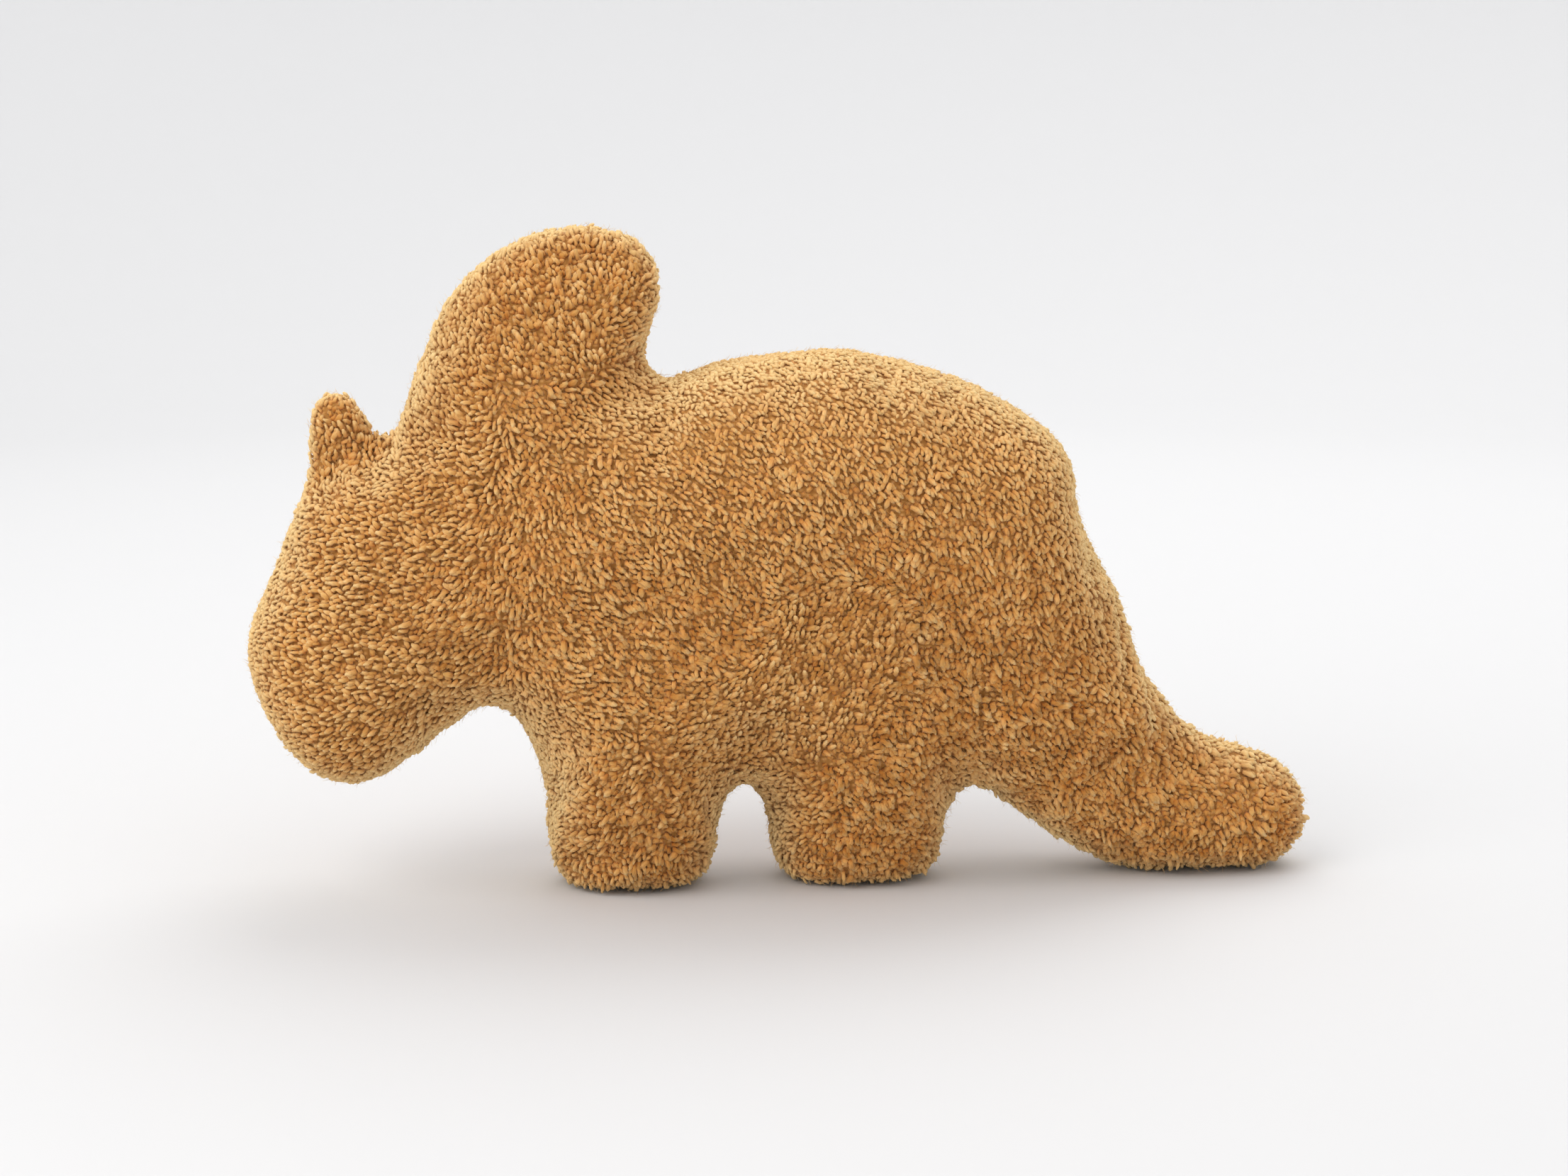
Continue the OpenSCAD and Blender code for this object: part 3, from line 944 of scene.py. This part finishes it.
def seamRing(bm):
    # the open edge in order, with the way out from the toy at each point
    start = next(v for v in bm.verts if any(e.is_boundary for e in v.link_edges))
    ring, last = [start], None
    while True:
        edge = next(e for e in ring[-1].link_edges if e.is_boundary and e != last)
        last = edge
        ring.append(edge.other_vert(ring[-1]))
        if ring[-1] == start:
            break
    ring.pop()
    flat = np.array([(v.co.x, v.co.z) for v in ring])
    steps = range(1, panelPlan["edgeReach"])
    ahead = sum(np.roll(flat, -k, axis=0) for k in steps) - sum(np.roll(flat, k, axis=0) for k in steps)
    out = np.stack([ahead[:, 1], -ahead[:, 0]], axis=1)
    out /= np.linalg.norm(out, axis=1, keepdims=True)
    x, z = flat.T
    if np.sum(x * np.roll(z, -1) - np.roll(x, -1) * z) < 0:
        out = -out
    return ring, flat, out


def fleeceShell(mesh):
    bm = bmesh.new()
    bm.from_mesh(mesh)
    ring, flat, out = seamRing(bm)
    inner = [bm.verts.new((x, vert.co.y, z))
             for vert, (x, z) in zip(ring, flat - out * panelPlan["allowance"])]
    for i, vert in enumerate(ring):
        following = ring[(i + 1) % len(ring)]
        face = next(e for e in vert.link_edges if e.other_vert(vert) == following).link_faces[0]
        corners = [vert, following, inner[(i + 1) % len(ring)], inner[i]]
        loop = next(l for l in face.loops if l.vert == vert)
        bm.faces.new(corners[::-1] if loop.link_loop_next.vert == following else corners)
    bm.to_mesh(mesh)
    bm.free()
    obj = addLink(bpy.data.objects.new("panel", mesh))
    return remade(obj, ("SOLIDIFY", {"thickness": panelPlan["backing"], "offset": -1.0, "use_rim": True}))


def tuftCollection(plan):
    tufts = bpy.data.collections.new(plan["name"])
    for i, shape in enumerate(plan["locks"] + plan["curls"]):
        tufts.objects.link(tuftMesh(plan, "%s%d" % (plan["name"], i), *shape))
    return tufts


def grownOn(carrier, tree, tufts, plan, band, seed):
    addTree(carrier, tree, {"Tufts": tufts, "Material": pileMaterial, "Band": band,
                            "Spacing": plan["spacing"], "Curl above": plan["curlAbove"],
                            "Yaw": plan["yaw"], "Lean spread": plan["leanSpread"],
                            "Smallest": plan["smallest"], "Largest": plan["largest"], "Seed": seed})
    pile = settled(carrier)
    carrier.modifiers.clear()
    for extra in ("nap", "band", "tall"):
        if extra in pile.attributes:
            pile.attributes.remove(pile.attributes[extra])
    return pile


def makePanels():
    tree = pileTree()
    tufts, fibres = tuftCollection(tuftPlan), tuftCollection(fuzzPlan)
    limits = bandLimits(pileGround)
    everywhere = len(bandNames)
    for side, name, node in ((-1, "left", "left_panel"), (1, "right", "right_panel")):
        ground = halfOf(pileGround, side)
        bands = ground.attributes.new("band", "INT", "FACE")
        bands.data.foreach_set("value", [sum(p.center.x > x for x in limits) for p in ground.polygons])
        carrier = addLink(bpy.data.objects.new("carrier", ground))
        for band, bandName in enumerate(bandNames):
            pile = grownOn(carrier, tree, tufts, tuftPlan, band, tuftPlan["seed"] + (side > 0))
            finishedPiece(name + "Pile" + bandName, pile, None, [node], smooth=False)
            print(name, "pile,", bandName, len(pile.polygons), "faces")
        bands.data.foreach_set("value", [everywhere] * len(ground.polygons))
        fuzz = grownOn(carrier, tree, fibres, fuzzPlan, everywhere, fuzzPlan["seed"] + (side > 0))
        finishedPiece(name + "Fuzz", fuzz, None, [node], smooth=False)
        print(name, "fuzz", len(fuzz.polygons), "faces")
        bpy.data.objects.remove(carrier)
        shell = fleeceShell(halfOf(cushion, side))
        piece = finishedPiece(name + "Fleece", shell, backingMaterial, [node])
        print(name, "fleece", len(shell.polygons), "faces")
    for collection in (tufts, fibres):
        for obj in list(collection.objects):
            bpy.data.objects.remove(obj)
        bpy.data.collections.remove(collection)


def seamLine():
    bm = bmesh.new()
    bm.from_mesh(halfOf(cushion, -1))
    ring, flat, out = seamRing(bm)
    bm.free()
    return flat, out


seamFlat, seamOut = seamLine()
makePanels()


threadPlan = {
    "thickness": 0.6 * mm,
    "sides": 6,
    "stitch": 2.8 * mm,
    "stitchSteps": 7,
    "stitchFilled": 0.98,  # share of its length that one stitch takes up
    "inside": 1.8 * mm,  # how far inside the edge of the backing the machine seam runs
    "off": 1.9 * mm,  # how far off the seam plane each thread lies
    "dip": 1.3 * mm,
    "gapFrom": 74 * mm,
    "gapTo": 126 * mm,
    "gapBelow": 40 * mm,
    "ladderStitches": 16,
    "ladderReach": 1.2 * mm,
    "ladderSpan": (0.1, 0.9),  # where in its share of the gap each ladder stitch lies
    "ladderOut": 0.1 * mm,
}


def polyCurve(name, points, radius=0.0, cyclic=False):
    data = bpy.data.curves.new(name, "CURVE")
    data.dimensions = "3D"
    spline = data.splines.new("POLY")
    spline.points.add(len(points) - 1)
    spline.points.foreach_set("co", np.hstack([points, np.ones((len(points), 1))]).ravel())
    spline.use_cyclic_u = cyclic
    data.bevel_depth = radius
    data.bevel_resolution = 2
    data.use_fill_caps = True
    return addLink(bpy.data.objects.new(name, data))


def stitchMesh(side):
    # one stitch: flat along the cloth, and dipping into it at both ends
    plan = threadPlan
    bm = bmesh.new()
    steps, sides, radius = plan["stitchSteps"], plan["sides"], plan["thickness"] / 2
    rings = []
    for i in range(steps):
        share = i / (steps - 1)
        x = (share - 0.5) * plan["stitch"] * plan["stitchFilled"]
        y = -side * plan["dip"] * abs(2 * share - 1) ** 3
        slope = -side * plan["dip"] * 6 * (2 * share - 1) * abs(2 * share - 1) / plan["stitch"]
        along = Vector((1, slope, 0)).normalized()
        across = Vector((0, 0, 1)).cross(along)
        ring = []
        for t in (2 * math.pi * k / sides for k in range(sides)):
            reach = across * math.cos(t) + Vector((0, 0, math.sin(t)))
            ring.append(bm.verts.new(Vector((x, y, 0)) + reach * radius))
        rings.append(ring)
    for a, b in zip(rings, rings[1:]):
        for k in range(sides):
            bm.faces.new([a[k], a[(k + 1) % sides], b[(k + 1) % sides], b[k]]).smooth = True
    bm.faces.new(rings[0][::-1])
    bm.faces.new(rings[-1])
    bmesh.ops.recalc_face_normals(bm, faces=bm.faces)
    mesh = bpy.data.meshes.new("stitch")
    bm.to_mesh(mesh)
    bm.free()
    return bpy.data.objects.new("stitch", mesh)


def stitchTree():
    tree = bpy.data.node_groups.new("stitchRow", "GeometryNodeTree")
    tree.is_modifier = True
    addInput(tree, "Path", "NodeSocketGeometry")
    addInput(tree, "Stitch", "NodeSocketObject")
    addInput(tree, "Material", "NodeSocketMaterial")
    addInput(tree, "Stitch length", "NodeSocketFloat", threadPlan["stitch"])
    tree.interface.new_socket("Row", in_out="OUTPUT", socket_type="NodeSocketGeometry")
    given = addNode(tree, "NodeGroupInput").outputs
    row = addNode(tree, "GeometryNodeResampleCurve", {"mode": "LENGTH"},
                  {"Curve": given["Path"], "Length": given["Stitch length"]}, "Curve")
    turn = addNode(tree, "FunctionNodeAxesToRotation", {"primary_axis": "X", "secondary_axis": "Y"},
                   {"Primary Axis": addNode(tree, "GeometryNodeInputTangent", out="Tangent"),
                    "Secondary Axis": (0, 1, 0)}, "Rotation")
    stitch = addNode(tree, "GeometryNodeObjectInfo", None,
                     {"Object": given["Stitch"], "As Instance": True}, "Geometry")
    placed = addNode(tree, "GeometryNodeInstanceOnPoints", None,
                     {"Points": row, "Instance": stitch, "Rotation": turn}, "Instances")
    solid = addNode(tree, "GeometryNodeRealizeInstances", None, {"Geometry": placed}, "Geometry")
    painted = addNode(tree, "GeometryNodeSetMaterial", None,
                      {"Geometry": solid, "Material": given["Material"]}, "Geometry")
    addNode(tree, "NodeGroupOutput", None, {"Row": painted})
    return tree


def makeThreads():
    plan = threadPlan
    x, z = seamFlat.T
    inGap = (x > plan["gapFrom"]) & (x < plan["gapTo"]) & (z < plan["gapBelow"])
    start = next(i for i in range(len(inGap)) if inGap[i - 1] and not inGap[i])
    order = np.roll(np.arange(len(inGap)), -start)
    machine, gap = order[~inGap[order]], order[inGap[order]]
    tree = stitchTree()
    for side, name, node in ((-1, "needleThread", "needle_thread"),
                             (1, "bobbinThread", "bobbin_thread")):
        line = (seamFlat - seamOut * plan["inside"])[machine]
        points = np.stack([line[:, 0], np.full(len(line), side * plan["off"]), line[:, 1]], axis=1)
        path = polyCurve("path", points)
        stitch = stitchMesh(side)
        addTree(path, tree, {"Stitch": stitch, "Material": threadMaterial})
        mesh = settled(path)
        bpy.data.objects.remove(path)
        bpy.data.objects.remove(stitch)
        finishedPiece(name, mesh, None, [node], smooth=False)
        print(name, len(mesh.polygons), "faces")
    line = np.array([seamFlat[gap], seamOut[gap]])
    count, numbers = plan["ladderStitches"], np.arange(len(gap))
    points = []
    for k in range(count):
        side = -1 if k % 2 else 1
        for share in plan["ladderSpan"]:
            spot = (k + share) / count * (len(gap) - 1)
            flat, out = np.array([[np.interp(spot, numbers, line[row][:, axis]) for axis in (0, 1)]
                                  for row in (0, 1)])
            x, z = flat + out * plan["ladderOut"]
            points.append((x, side * plan["ladderReach"], z))
    path = polyCurve("path", np.array(points), plan["thickness"] / 2)
    mesh = settled(path)
    bpy.data.objects.remove(path)
    finishedPiece("closingThread", mesh, threadMaterial, ["closing_thread"])
    print("closing thread", len(mesh.polygons), "faces")


makeThreads()


labelPlan = {
    "width": 18 * mm,
    "length": 26 * mm,  # of each half, folded over
    "cloth": 0.25 * mm,
    "fold": 0.7 * mm,  # between the two halves
    "lift": (0, 1, 0.25),  # the way the upper half stands off the lower
    "shift": (6 * mm, 4 * mm),  # from the middle of the pressed spot towards the seam
    "root": 2 * mm,  # caught this far inside the seam
    "exit": (0.3 * mm, 0.5 * mm),  # where it comes out: off the seam plane, and outwards
    "strides": 60,  # laid on the backing at this many points, this far apart
    "stride": 0.8 * mm,
    "firstStride": 0.6,
    "lowest": 0.9 * mm,  # how far off the backing it starts
    "above": 3.0 * mm,  # how far off the backing it lies, on the pressed pile
    "rise": 8 * mm,  # the stretch over which it climbs onto the pile
    "ripple": 0.25 * mm,
    "rippleTurns": (0.24, 0.3),  # radians to a stride and to a column
    "columns": 12,
    "rows": 16,
}


def makeLabel():
    plan = labelPlan
    surface = addLink(bpy.data.objects.new("surface", cushion))
    bpy.context.view_layer.update()
    spot = [labelSpot["x"] + plan["shift"][0], labelSpot["z"] + plan["shift"][1]]
    middle = int(np.argmin(np.linalg.norm(seamFlat - spot, axis=1)))
    base, out = seamFlat[middle], seamOut[middle]
    tangent = np.array([-out[1], out[0]])
    highest = cadBounds[1][1] * 2  # well off the far side
    columns = []
    for i in range(plan["columns"] + 1):
        start = base + tangent * (i / plan["columns"] - 0.5) * plan["width"]
        (rootX, rootZ), (exitX, exitZ) = start - out * plan["root"], start + out * plan["exit"][1]
        track = [np.array([rootX, 0, rootZ]), np.array([exitX, plan["exit"][0], exitZ])]
        for step in range(plan["strides"]):
            x, z = start - out * (step + plan["firstStride"]) * plan["stride"]
            hit, spot, normal, face = surface.ray_cast(Vector((x, highest, z)), Vector((0, -1, 0)))
            if hit and spot.y > 0:
                climb = min(np.linalg.norm(np.array(spot) - track[1]) / plan["rise"], 1)
                climb = climb * climb * (3 - 2 * climb)
                wave = math.sin(step * plan["rippleTurns"][0] + i * plan["rippleTurns"][1])
                off = plan["lowest"] + (plan["above"] - plan["lowest"]) * climb + plan["ripple"] * wave
                track.append(np.array(spot) + np.array(normal) * off)
        track = np.array(track)
        run = np.concatenate([[0], np.cumsum(np.linalg.norm(np.diff(track, axis=0), axis=1))])
        lower = np.array([[np.interp(plan["length"] * r / plan["rows"], run, track[:, k])
                           for k in range(3)] for r in range(plan["rows"] + 1)])
        bulge = np.sin(np.linspace(0, math.pi / 2, plan["rows"] + 1))[:, None]
        upper = lower + np.array(plan["lift"]) * plan["fold"] * (1 + bulge) / 2
        columns.append(np.vstack([lower, upper[::-1]]))
    bpy.data.objects.remove(surface)
    bm = bmesh.new()
    uvLayer = bm.loops.layers.uv.new("weave")
    verts = [[bm.verts.new(p) for p in column] for column in columns]
    for i in range(len(verts) - 1):
        for j in range(len(verts[0]) - 1):
            face = bm.faces.new([verts[i][j], verts[i][j + 1], verts[i + 1][j + 1], verts[i + 1][j]])
            for loop, (u, v) in zip(face.loops, ((i, j), (i, j + 1), (i + 1, j + 1), (i + 1, j))):
                loop[uvLayer].uv = (u * plan["width"] / plan["columns"],
                                    v * plan["length"] / plan["rows"])
    bmesh.ops.recalc_face_normals(bm, faces=bm.faces)
    mesh = bpy.data.meshes.new("label")
    bm.to_mesh(mesh)
    bm.free()
    obj = addLink(bpy.data.objects.new("label", mesh))
    mesh = remade(obj, ("SOLIDIFY", {"thickness": plan["cloth"], "offset": 0.0, "use_rim": True}))
    piece = finishedPiece("careLabel", mesh, ribbonMaterial, ["care_label"])
    print("label", len(mesh.polygons), "faces")


makeLabel()


wadPlan = {
    "voxel": 4.5 * mm,
    "smoothing": {"factor": 0.5, "iterations": 3},
    "shrink": 2.6 * mm,
    "tuftSize": 11 * mm,
    "tuftHeight": 1.2 * mm,
    "fill": 0.55,
}


def makeWads():
    plan = wadPlan
    for node in wadNodes:
        mesh = remade(mergedCopy([node]),
                      ("REMESH", {"mode": "VOXEL", "voxel_size": plan["voxel"]}),
                      ("SMOOTH", plan["smoothing"]))
        points, normals = pointsOf(mesh), normalsOf(mesh)
        puff = np.array([noise.noise(Vector(p) / plan["tuftSize"]) for p in points])
        outward = puff * plan["tuftHeight"] - plan["shrink"] + surfaceShift(points, normals)
        putPoints(mesh, points + normals * outward[:, None])
        mesh = remade(addLink(bpy.data.objects.new("wad", mesh)), onceFiner)
        name = "".join(part.capitalize() if i else part for i, part in enumerate(node.split("_")))
        piece = finishedPiece(name, mesh, fillingMaterial, [node])
    print("wads made:", len(wadNodes))


makeWads()
